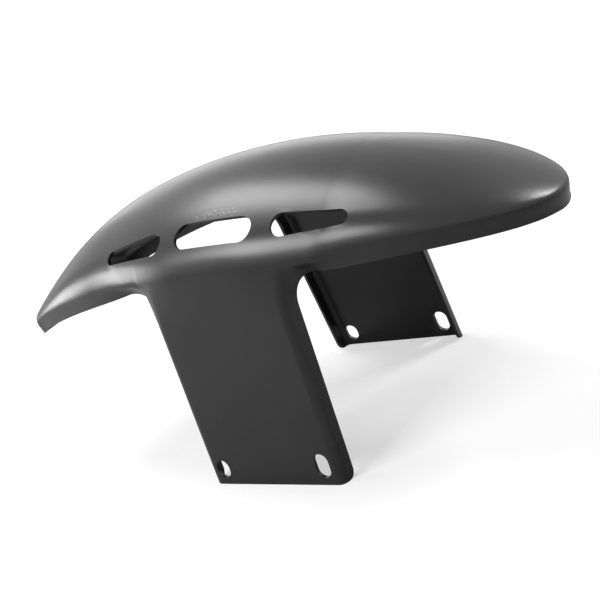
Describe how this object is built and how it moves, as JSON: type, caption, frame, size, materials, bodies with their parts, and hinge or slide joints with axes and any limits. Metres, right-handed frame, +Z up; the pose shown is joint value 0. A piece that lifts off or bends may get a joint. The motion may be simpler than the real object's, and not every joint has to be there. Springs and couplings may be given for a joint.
{
  "type": "motorcycle front mudguard",
  "caption": "Short pressed front mudguard with a rounded crown over the tyre, vent slots along both shoulders and a flanged leg on each side that bolts to the fork.",
  "frame": {"origin": "on the line of the feet, under the middle of the whole length", "axes": "+Z up along the fork legs, +X forward along the mudguard, +Y to the left side of the motorcycle"},
  "size_m": [0.3526, 0.16, 0.163],
  "materials": {
    "black_paint": "satin black powder coat"
  },
  "bodies": {
    "root": {"mudguard": "black_paint"}
  },
  "joints": []
}
